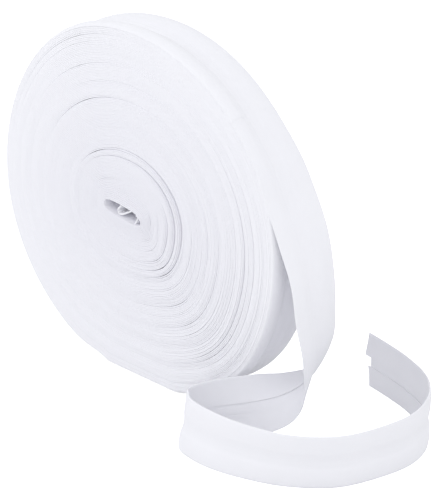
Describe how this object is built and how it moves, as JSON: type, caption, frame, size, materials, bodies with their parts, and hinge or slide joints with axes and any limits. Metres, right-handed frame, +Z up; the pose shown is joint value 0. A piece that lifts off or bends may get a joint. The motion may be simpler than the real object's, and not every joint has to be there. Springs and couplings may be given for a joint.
{
  "type": "roll of bias tape",
  "caption": "Roll of white folded cotton bias tape standing on a small flat spot, with its loose end hanging off and looped on its edge beside it.",
  "frame": {"origin": "middle of the flat spot that the roll stands on, below the roll's axis and midway between the edges of its rim", "axes": "+Y along the roll's axis from the near face to the far face, +Z up, +X towards the side where the loose end leaves the roll"},
  "size_m": [0.1743, 0.0813, 0.1263],
  "materials": {
    "tape_cotton": "matt plain-woven cotton, pressed folds"
  },
  "bodies": {
    "root": {"wound_roll": "tape_cotton", "loose_end": "tape_cotton"}
  },
  "joints": []
}
